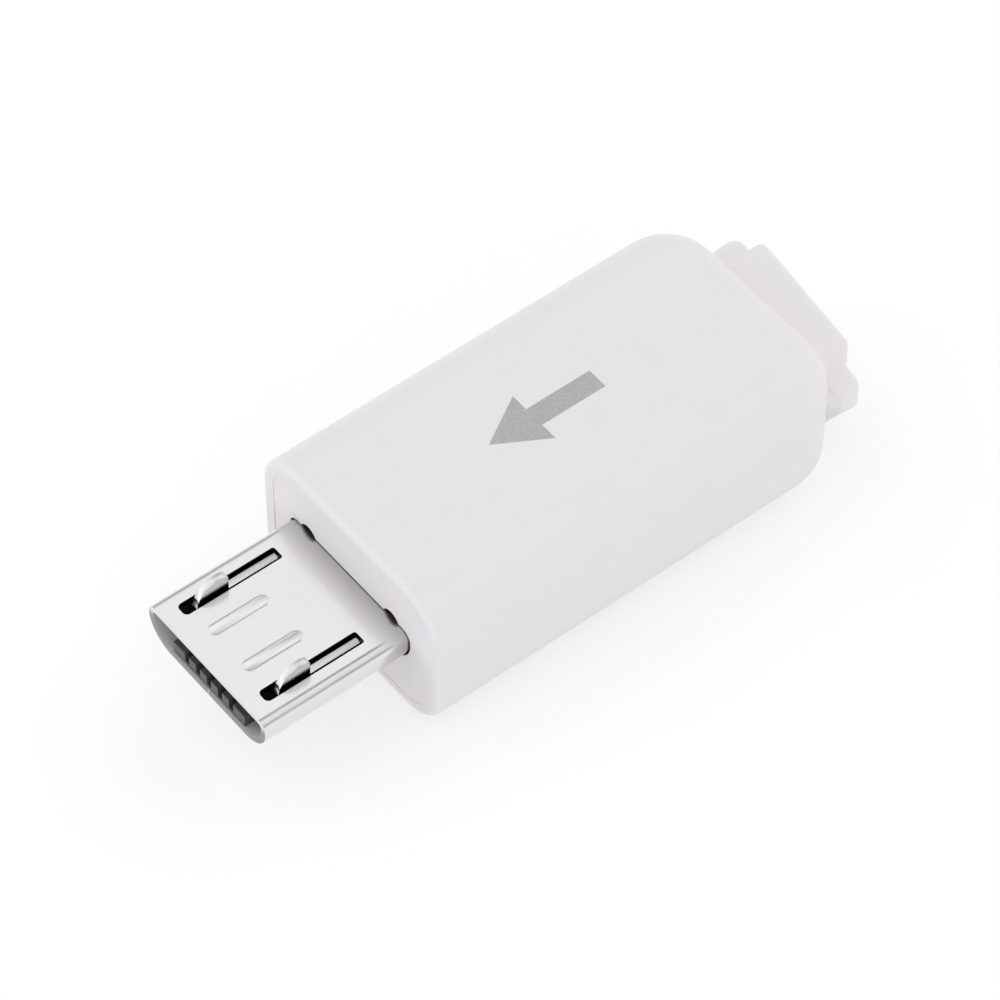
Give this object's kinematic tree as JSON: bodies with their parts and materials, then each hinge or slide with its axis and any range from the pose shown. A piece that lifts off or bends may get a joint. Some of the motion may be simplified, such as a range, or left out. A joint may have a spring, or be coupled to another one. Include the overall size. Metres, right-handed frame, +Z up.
{
  "type": "micro usb plug",
  "caption": "Micro-B cable plug: folded metal nose with sprung latch hooks and inner contacts, held by a white frame in a smooth white sleeve with a cable tail.",
  "frame": {"origin": "middle of the whole length and width, on the plane of the sleeve's flat underside", "axes": "+X along the plug to the mating end, +Y to the plug's left, +Z up out of the wide side that carries the latch hooks"},
  "size_m": [0.0278, 0.0102, 0.0067],
  "materials": {
    "white_sleeve": "satin white moulding",
    "white_frame": "matte white moulding",
    "nickel_sheet": "bright nickel plate on folded steel sheet",
    "black_insulator": "matte black moulding",
    "gold_contact": "thin gold plate on copper alloy",
    "latch_steel": "stamped spring steel"
  },
  "bodies": {
    "plug": {"outer_sleeve": "white_sleeve", "upper_frame": "white_frame", "lower_frame": "white_frame", "nose_shell": "nickel_sheet", "insulator": "black_insulator", "contact_1": "gold_contact", "contact_2": "gold_contact", "contact_3": "gold_contact", "contact_4": "gold_contact", "contact_5": "gold_contact"},
    "left_latch": {"latch_left": "latch_steel"},
    "right_latch": {"latch_right": "latch_steel"}
  },
  "joints": [
    {"name": "left_latch_flex", "type": "hinge", "parent": "plug", "child": "left_latch", "pos_m": [0.00807, 0.00239, 0.00345], "axis": [0, 1, 0], "range_deg": [0, 11], "stiffness_Nm_per_rad": 0.06},
    {"name": "right_latch_flex", "type": "hinge", "parent": "plug", "child": "right_latch", "pos_m": [0.00807, -0.00239, 0.00345], "axis": [0, 1, 0], "range_deg": [0, 11], "stiffness_Nm_per_rad": 0.06}
  ]
}
